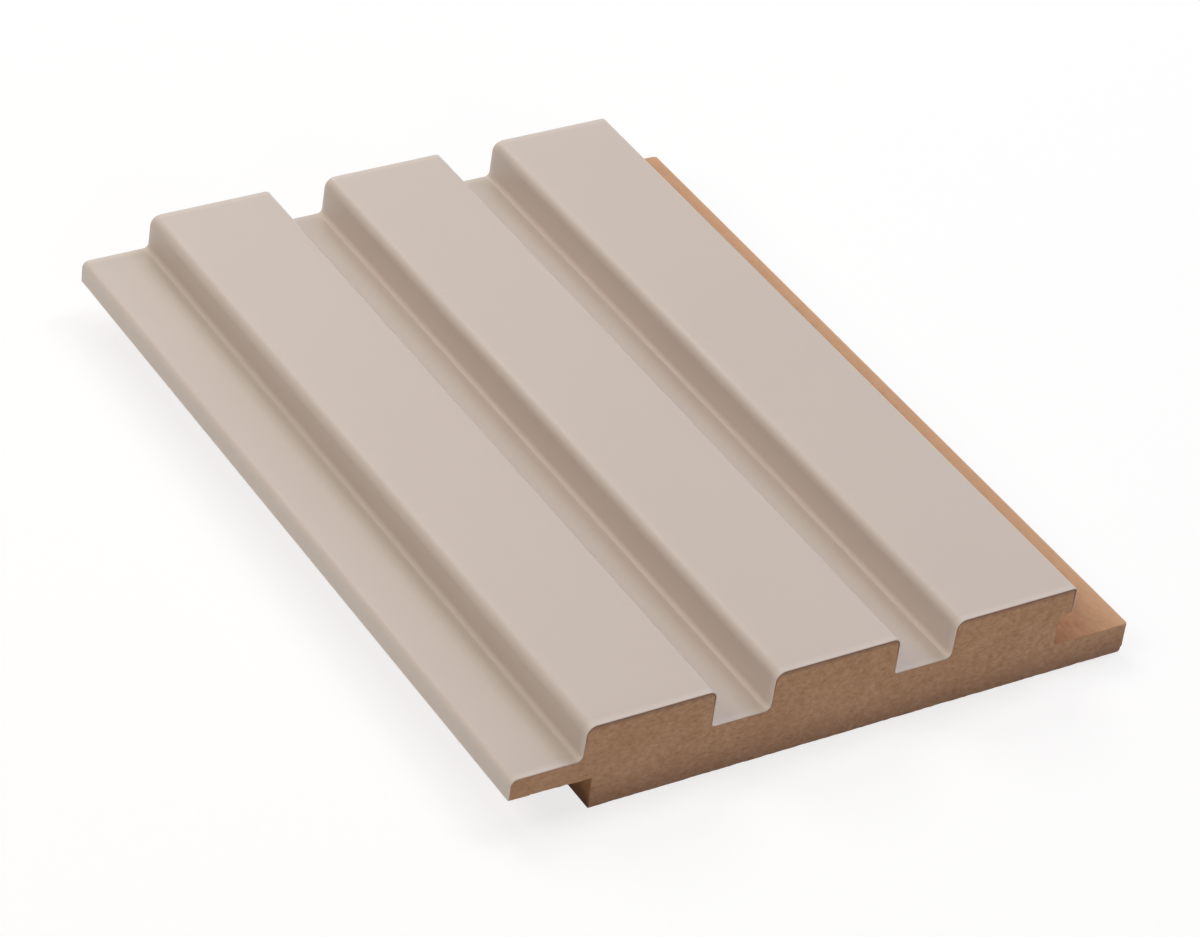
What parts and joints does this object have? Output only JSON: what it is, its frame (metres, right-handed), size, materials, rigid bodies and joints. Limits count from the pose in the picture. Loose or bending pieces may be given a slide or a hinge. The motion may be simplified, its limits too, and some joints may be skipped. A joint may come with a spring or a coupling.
{
  "type": "mdf wall panel",
  "caption": "Short length of slatted MDF wall panel, wrapped in beige film, with grooves between flat slats and a lap joint along both long edges.",
  "frame": {"origin": "on the underside, in the middle of the overall width and of the length", "axes": "+X across the slats from the wrapped left lip to the bare right lip, +Y along the slats, +Z out of the face"},
  "size_m": [0.1118, 0.145, 0.016],
  "materials": {
    "raw_mdf": "bare, milled and sawn fibreboard",
    "beige_film": "smooth satin film"
  },
  "bodies": {
    "root": {"mdf_core": "raw_mdf", "decor_film": "beige_film"}
  },
  "joints": []
}
